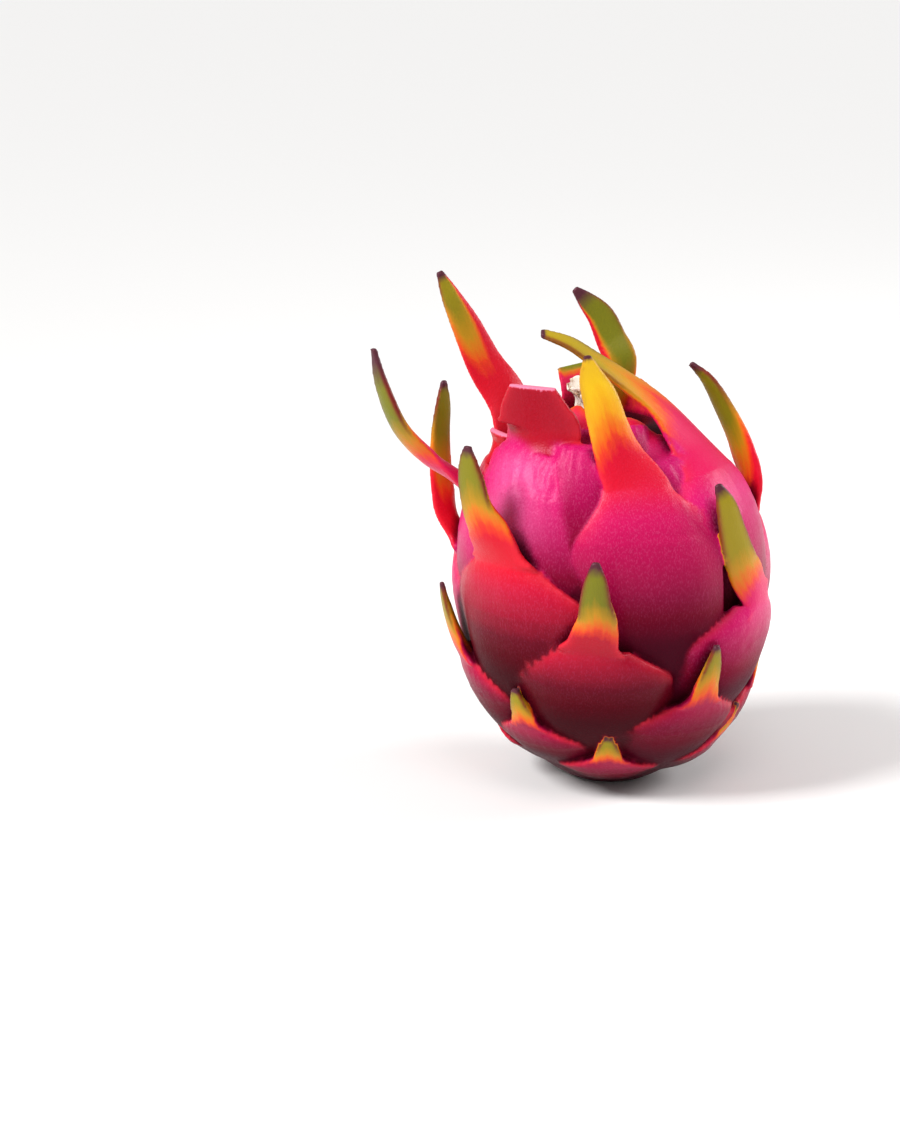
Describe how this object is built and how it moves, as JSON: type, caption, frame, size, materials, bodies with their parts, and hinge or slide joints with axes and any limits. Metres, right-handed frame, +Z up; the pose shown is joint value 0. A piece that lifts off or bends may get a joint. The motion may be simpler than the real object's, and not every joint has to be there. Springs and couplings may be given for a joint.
{
  "type": "dragon fruit",
  "caption": "Whole dragon fruit standing on its stem end: egg-shaped body under swollen leafy scales with long curling tips, and a withered flower in the crown.",
  "frame": {"origin": "middle of the small flat spot at the stem end that the fruit rests on", "axes": "+Z up along the fruit, from its stem end to its crown; -Y out of the front, where the tallest front scale rises; +X to the right seen from the front"},
  "size_m": [0.1117, 0.1011, 0.1404],
  "materials": {
    "rind": "waxy satin fruit rind, crimson to pink, its scales turning orange, yellow and green to dark points",
    "dry_flower": "matt, dry and papery, cream"
  },
  "bodies": {
    "root": {"fruit_with_scales": "rind", "withered_flower": "dry_flower"}
  },
  "joints": []
}
